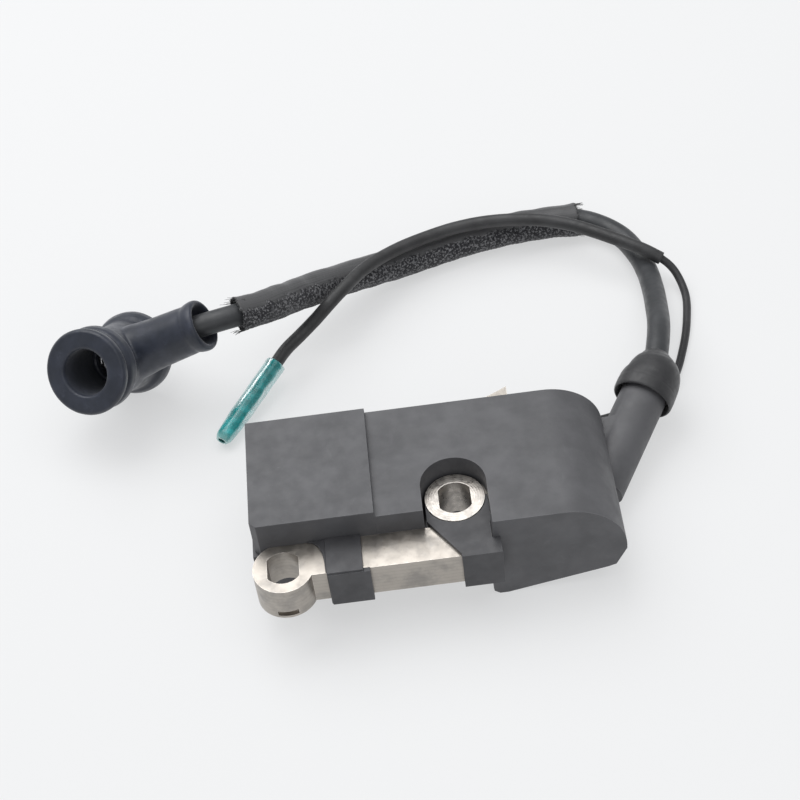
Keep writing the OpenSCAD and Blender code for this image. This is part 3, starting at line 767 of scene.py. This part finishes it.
def soft_tube():
    """Tube over the wire, very slightly uneven."""
    spots = frames_along(smooth_route(part_of(WIRE, TUBE_ENDS), step=0.5))

    def outer(s, a):
        wave = 0.035 * noise.noise(Vector((s * 0.2, math.cos(a), math.sin(a))))
        return TUBE_R - 0.03 + wave

    piece = hollow("stop_wire_tube", spots, outer, lambda s, a: outer(s, a) - WALL, 28,
                   TUBE_SKIN)
    return done(piece, "module", ["wire_tube"])


lead, lead_route = rubber_lead()
braid = braided_sleeve()
fray = frayed_ends()
wire, wire_route = stop_wire()
tube = soft_tube()

# ---------------------------------------------------------------- boot and its contact parts


ALONG_ARM = Matrix.Rotation(math.pi / 2, 4, "Y")  # turns a lathe's axis onto the arm's


def on_boot():
    """The boot's own axes: x along its arm, z out of its socket."""
    turn = (Matrix.Rotation(math.radians(BOOT_YAW), 4, "Z")
            @ Matrix.Rotation(math.radians(-BOOT_RISE), 4, "Y")
            @ Matrix.Rotation(math.radians(BOOT_ROLL), 4, "X"))
    return Matrix.Translation(BOOT_C) @ turn


def lathe(profile, sides, turn):
    """Rings round z for each (radius, height) of an outline, moved by turn."""
    corners = [2 * math.pi * k / sides for k in range(sides)]
    return [[turn @ Vector((r * math.cos(a), r * math.sin(a), h)) for a in corners]
            for r, h in profile]


def lathed_solid(name, profile, material, turn, sides=96):
    """Solid of revolution; the outline runs from the axis out and back to the axis."""
    tiny = 0.001  # radius on the axis, where the outline has none
    rings = lathe([(max(r, tiny), h) for r, h in profile], sides, turn)
    return shell(name, rings, material)


def combine(base, others, operation):
    """Adds the other solids to the base or cuts them out of it, and deletes them."""
    for other in others:
        mod = base.modifiers.new("bool", "BOOLEAN")
        mod.operation = operation
        mod.solver = "EXACT"
        mod.object = other
    baked(base)
    for other in others:
        bpy.data.objects.remove(other)


def plug_boot():
    """Moulded boot: ribbed body, side arm, socket, lead hole, and a nick in the mouth's rim."""
    axes = on_boot()
    arm = axes @ ALONG_ARM
    body = lathed_solid("plug_boot_moulded", [
        (0, -10.6), (7.5, -10.6), (8.7, -10), (9.15, -9.1), (9.15, -7.4), (8.7, -5.9), (7.9, -4.9),
        (7.7, -4.2), (7.6, 0), (7.75, 6.6), (8.1, 7.6), (8.9, 8.1), (9.15, 8.8), (9.1, 10.5),
        (8.8, 11.2), (8.2, 11.5), (8.1, 12.1), (8.8, 12.5), (9.3, 13.1), (9.35, 14.2),
        (8.9, 14.9), (0, 15)], BOOT, axes)
    limb = lathed_solid("arm", [
        (0, 0), (6.1, 0), (6.0, 6), (5.75, 8), (5.5, 11), (5.3, 18), (5.2, 19.8), (5.5, 20.6),
        (5.7, 21.8), (5.6, 22.7), (5.2, 23.1), (0, 23.1)], BOOT, arm)
    combine(body, [limb], "UNION")
    socket = lathed_solid("socket", [
        (0, -4.5), (4.2, -4.5), (4.2, 1.2), (5.0, 1.3), (5.0, 14.3), (5.25, 14.8), (5.6, 15.1),
        (5.6, 17), (0, 17)], BOOT, axes)
    hole = lathed_solid("hole", [
        (0, 7), (2.55, 7), (2.55, 19.6), (3.3, 19.9), (4.0, 20.8), (4.3, 22.4), (4.7, 23.2),
        (4.7, 26), (0, 26)], BOOT, arm, 64)
    pin = lathed_solid("pin_hole", [(0, -1), (1.1, -1), (1.1, 9), (0, 9)], BOOT, arm, 32)
    nick = shell("nick", [[axes @ Vector(p) for p in ring] for ring in (
        [(-6.2, -5.4, 14.2), (-7.4, -6.4, 13.4), (-7.2, -6.6, 14.6), (-6.1, -5.6, 15.4)],
        [(-6.0, -5.7, 14.2), (-7.2, -6.7, 13.4), (-7.0, -6.9, 14.6), (-5.9, -5.9, 15.4)])], BOOT)
    combine(body, [socket, hole, pin, nick], "DIFFERENCE")
    remesh = body.modifiers.new("remesh", "REMESH")
    remesh.mode = "VOXEL"
    remesh.voxel_size = 0.28 * MM
    smooth = body.modifiers.new("smooth", "SMOOTH")
    smooth.factor = 0.5
    smooth.iterations = 5
    baked(body)
    body.data.polygons.foreach_set("use_smooth", [True] * len(body.data.polygons))
    body.data.materials.clear()
    body.data.materials.append(BOOT)
    return done(body, "boot", ["plug_boot"])


def coil_spring():
    """Wire spring in the socket that grips the plug's cap: closed ends, open middle."""
    axes = on_boot()
    turns = 4.5
    low = -3.55
    high = 0.6
    radius = 3.45
    wire_radius = 0.38
    count = round(turns * 40)
    points = []
    for i in range(count + 1):
        t = i / count
        ease = t * t * (3 - 2 * t)
        height = low + (high - low) * (0.45 * ease + 0.55 * t)
        a = 2 * math.pi * turns * t
        r = radius - 0.25 * math.sin(math.pi * t)
        points.append(axes @ Vector((r * math.cos(a), r * math.sin(a), height)))
    rings = [ring_of(spot, wire_radius, 12) for spot in frames_along(points)]
    piece = shell("plug_spring_coil", rings, SPRING)
    return done(piece, "boot", ["plug_spring"])


def pointed_contact():
    """Turned pin between the spring and the lead's end."""
    piece = lathed_solid("lead_contact_pin", [
        (0, 3.9), (0.75, 3.9), (0.95, 4.1), (0.95, 4.9), (0.7, 5.1), (0.7, 5.5), (0.95, 5.7),
        (0.95, 6.3), (0.6, 6.7), (0, 6.98)], BRASS, on_boot() @ ALONG_ARM, 32)
    return done(piece, "boot", ["lead_contact"])


boot = plug_boot()
spring = coil_spring()
contact = pointed_contact()

# ---------------------------------------------------------------- tower seal, grommet, terminal


def tower_seal():
    """Soft boot over the tower: open skirt, dome and a neck that bends with the lead."""
    route = smooth_route([tower_at(0), tower_at(3), tower_at(NECK_S) - 0.2 * NECK_WAY,
                          neck_at(2.9), neck_at(5.9)], step=0.2)
    spots = frames_along(route)

    def spot_at(s):
        """The frame at any distance s along the route."""
        s = max(0, min(s, spots[-1][0]))
        for one, two in zip(spots, spots[1:]):
            if two[0] >= s:
                t = (s - one[0]) / max(1e-9, two[0] - one[0])
                return (s, *[one[i].lerp(two[i], t) for i in range(1, 5)])
        return spots[-1]

    # distance along and radius: up the outside, then back down the inside
    outline = [(0.15, 5.85), (0.05, 6.15), (0.5, 6.4), (2.4, 6.45), (2.9, 6.38), (3.4, 6.4),
               (5.0, 6.2), (6.6, 5.85), (8.2, 5.3), (9.6, 4.5), (10.6, 3.7), (11.2, 3.3),
               (11.6, 3.1), (11.6, 2.62), (11.0, 2.55), (8.6, 2.55), (8.5, 4.9),
               (3.0, 4.95), (2.8, 5.75)]
    outline = rounded(dense(outline, step=1.0), rounds=2)
    rings = [ring_of(spot_at(s), r, 72) for s, r in outline]
    piece = shell("tower_seal_moulded", rings, SEAL, closed=True)
    return done(piece, "module", ["tower_seal"])


def grommet():
    """Ribbed strain relief where the stop wire leaves the case."""
    low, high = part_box("wire_grommet")
    middle = (low + high) / 2 / MM + MIDDLE
    base = low.y / MM + MIDDLE.y
    turn = (Matrix.Translation(Vector((middle.x, base, middle.z)))
            @ Matrix.Rotation(-math.pi / 2, 4, "X"))
    outline = [(0.95, 0), (1.88, 0), (1.88, 1.4), (2.6, 1.42), (2.6, 1.9), (2.3, 2.1),
               (2.3, 2.5), (2.05, 2.7), (2.05, 3.1), (1.8, 3.3), (1.7, 3.8), (0.95, 3.8)]
    rings = lathe(rounded(dense(outline, step=0.5), rounds=1), 48, turn)
    piece = shell("wire_grommet_ribbed", rings, SEAL, closed=True)
    return done(piece, "module", ["wire_grommet"])


def term_route(start, length, count):
    """Even points along the terminal cover's axis."""
    return [term_at(start + length * i / count) for i in range(count + 1)]


def terminal_cover():
    """Soft vinyl cover: rolled mouth, faint creases, narrowing to a slightly flattened tip."""
    length = 22.5
    full_radius = 2.24
    taper_from = 15
    tip_length = 1.6
    wall = 0.44

    def outer(s, a, inset=0.0):
        bulge = 0.08 * math.exp(-((s - 0.5) / 0.5) ** 2)
        taper = -0.5 * max(0, (s - taper_from) / (length - taper_from))
        crease = 0.1 * noise.noise(Vector((s * 0.3, math.cos(a) * 1.2, math.sin(a) * 1.2)))
        tip = max(0, (s - length + tip_length) / tip_length)
        r = full_radius + bulge + taper + crease - 0.5 * tip * tip - inset
        wide = r * (1 + 0.08 * tip)
        thin = r * (1 - 0.14 * tip)
        return wide * thin / math.hypot(thin * math.cos(a), wide * math.sin(a))

    piece = hollow("terminal_cover_vinyl", frames_along(term_route(0, length, 90)), outer,
                   lambda s, a: outer(s, a, wall), 48, VINYL)
    return done(piece, "terminal_sleeve", ["terminal_cover"])


def bullet():
    """Crimped barrel and slotted bullet."""
    # distance along and radius
    outline = [(0, 1.2), (0.15, 1.38), (3.1, 1.38), (3.5, 0.95), (4.2, 0.92), (4.6, 1.58),
               (7.3, 1.6), (8.3, 1.32), (8.8, 0.9), (9, 0.5)]

    def turned(s):
        """The radius of the outline at distance s."""
        for (s0, r0), (s1, r1) in zip(outline, outline[1:]):
            if s <= s1:
                return r0 + (r1 - r0) * (s - s0) / (s1 - s0)
        return outline[-1][1]

    def radius(s, a):
        crimp = math.exp(-((s - 1.6) / 0.7) ** 2)
        slit = math.exp(-((a - math.pi / 2) / 0.16) ** 2) if s > 4.4 else 0
        return turned(s) * (1 - 0.24 * crimp * abs(math.sin(a)) - 0.18 * slit)

    piece = rod("bullet_terminal_crimped", term_route(3, 9, 72), radius, 48, TINNED)
    return done(piece, "module", ["bullet_terminal"])


tower_seal()
grommet()
cover = terminal_cover()
terminal = bullet()

# ---------------------------------------------------------------- module

softened("case_body", 0.35, CASE, 3)
softened("module_cover", 0.3, COVER, 3)
softened("left_core_strap", 0.2, STRAP)
softened("right_core_strap", 0.2, STRAP)
softened("laminated_core", 0.12, CORE)
softened("mount_bushing", 0.16, BUSHING)
softened("potting_resin", 0.1, RESIN)

KEPT = {
    "primary_bobbin": NYLON, "secondary_bobbin": NYLON, "charge_bobbin": NYLON,
    "primary_winding": COPPER, "secondary_winding": COPPER, "charge_winding": COPPER,
    "circuit_board": BOARD, "storage_capacitor": FILM, "switch_thyristor": CHIP,
    "control_chip": CHIP, "diodes": CHIP, "resistors": LACQUER, "ground_strap": TINNED,
    "ht_wire": COPPER, "ht_post": BRASS,
}
for name, material in KEPT.items():
    kept = nodes[name].data
    kept.materials.clear()
    kept.materials.append(material)

# ---------------------------------------------------------------- floor and light


def floor():
    """Pale paper; its slight glow keeps the shadows on it light."""
    size = 3.0  # metres each way
    data = bpy.data.meshes.new("floor")
    corners = [(-size, -size, 0), (size, -size, 0), (size, size, 0), (-size, size, 0)]
    data.from_pydata(corners, [], [(0, 1, 2, 3)])
    s = Shader("floor_paper", Roughness=0.9, Specular_IOR_Level=0.05,
               Emission_Color=rgb(0.99, 0.995, 1.0), Emission_Strength=0.54)
    s.set("Base Color", s.mix(s.noise(400, 1), rgb(0.29, 0.292, 0.295), rgb(0.3, 0.302, 0.305)))
    data.materials.append(s.mat)
    obj = bpy.data.objects.new("floor", data)
    scene.collection.objects.link(obj)


def area_light(name, spot, aim, size, watts):
    data = bpy.data.lights.new(name, "AREA")
    data.shape = "DISK"
    data.size = size
    data.energy = watts
    obj = bpy.data.objects.new(name, data)
    obj.location = spot
    obj.rotation_euler = (Vector(aim) - Vector(spot)).to_track_quat("-Z", "Y").to_euler()
    scene.collection.objects.link(obj)


def studio():
    """Soft white room light with a high key behind, a top light and a weak front one."""
    world = bpy.data.worlds.new("studio")
    world.use_nodes = True
    back = world.node_tree.nodes["Background"]
    back.inputs["Color"].default_value = rgb(0.96, 0.98, 1.0)
    back.inputs["Strength"].default_value = 0.42
    scene.world = world
    area_light("key", (-0.25, 0.35, 0.65), (0, 0.02, 0), 0.8, 4.2)
    area_light("top", (0.1, 0.05, 0.85), (0, 0.02, 0), 1.0, 3.0)
    area_light("front", (0.1, -0.55, 0.4), (0, 0, 0), 0.4, 0.5)
    scene.view_settings.view_transform = "Standard"
    scene.view_settings.look = "None"


floor()
studio()
